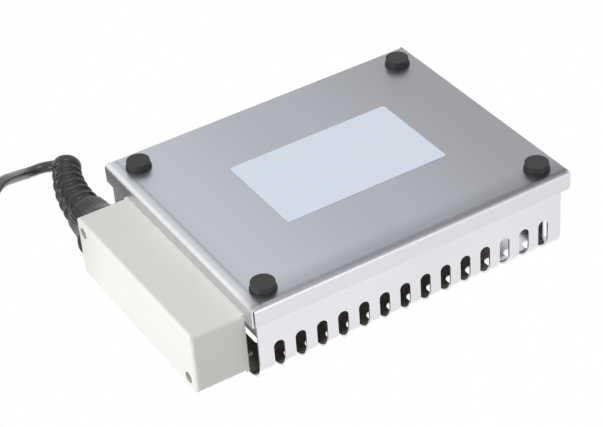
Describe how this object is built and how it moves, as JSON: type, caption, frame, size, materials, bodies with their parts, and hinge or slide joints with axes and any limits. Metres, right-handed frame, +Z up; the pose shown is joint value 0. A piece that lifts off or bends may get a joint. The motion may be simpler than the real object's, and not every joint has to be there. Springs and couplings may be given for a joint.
{
  "type": "solder pot",
  "caption": "Small electric solder bath in a slotted stainless case on four feet, with a connection box and a low-voltage supply lead with plug.",
  "frame": {"origin": "on the standing surface, under the middle of the case with its connection box", "axes": "+X along the case towards the connection box, +Y across it towards the side the lead leaves by, +Z up out of the bath"},
  "size_m": [0.2901, 0.178, 0.0466],
  "materials": {
    "tray_steel": "satin stainless sheet",
    "cover_steel": "bright stainless sheet",
    "plate_steel": "stainless sheet",
    "shield_steel": "stainless sheet, coloured by heat",
    "mineral_board": "pale mineral fibre board",
    "cast_pot": "dark cast iron",
    "solder": "bright set solder",
    "heater_steel": "steel sleeve",
    "sensor_steel": "steel sleeve",
    "standoff_steel": "turned steel",
    "screw_steel": "zinc plated",
    "glass_sleeve": "glass fibre sleeving",
    "black_rubber": "black rubber",
    "nut_steel": "zinc plated",
    "box_plastic": "fine-textured light grey plastic",
    "lid_screw_steel": "zinc plated",
    "terminal_plastic": "pale plastic",
    "core_insulation": "insulated cores",
    "clamp_plastic": "black plastic",
    "boot_rubber": "black rubber",
    "lead_sheath": "grey-black sheath",
    "plug_rubber": "black rubber",
    "plug_plastic": "black plastic",
    "plug_metal": "nickel plated",
    "plug_contacts": "gilt contacts",
    "foot_rubber": "black rubber"
  },
  "bodies": {
    "root": {"base_tray": "tray_steel", "cover": "cover_steel", "end_plate": "plate_steel", "heat_shield": "shield_steel", "insulation": "mineral_board", "crucible": "cast_pot", "solder_charge": "solder", "heater_cartridges": "heater_steel", "temperature_sensor": "sensor_steel", "standoffs": "standoff_steel", "standoff_screws": "screw_steel", "bath_leads": "glass_sleeve", "grommet": "black_rubber", "press_nuts": "nut_steel", "box_base": "box_plastic", "box_lid": "box_plastic", "box_screws": "screw_steel", "lid_screws": "lid_screw_steel", "terminal_block": "terminal_plastic", "lead_cores": "core_insulation", "clamp_saddle": "clamp_plastic", "clamp_bar": "clamp_plastic", "clamp_screws": "screw_steel", "bend_protection": "boot_rubber", "lead_entry": "lead_sheath", "lead_tube": "lead_sheath", "lead_coil": "lead_sheath", "lead_end": "lead_sheath", "plug_boot": "plug_rubber", "plug_grip": "plug_plastic", "plug_sleeve": "plug_metal", "plug_insert": "plug_contacts", "feet": "foot_rubber", "foot_screws": "screw_steel"}
  },
  "joints": []
}
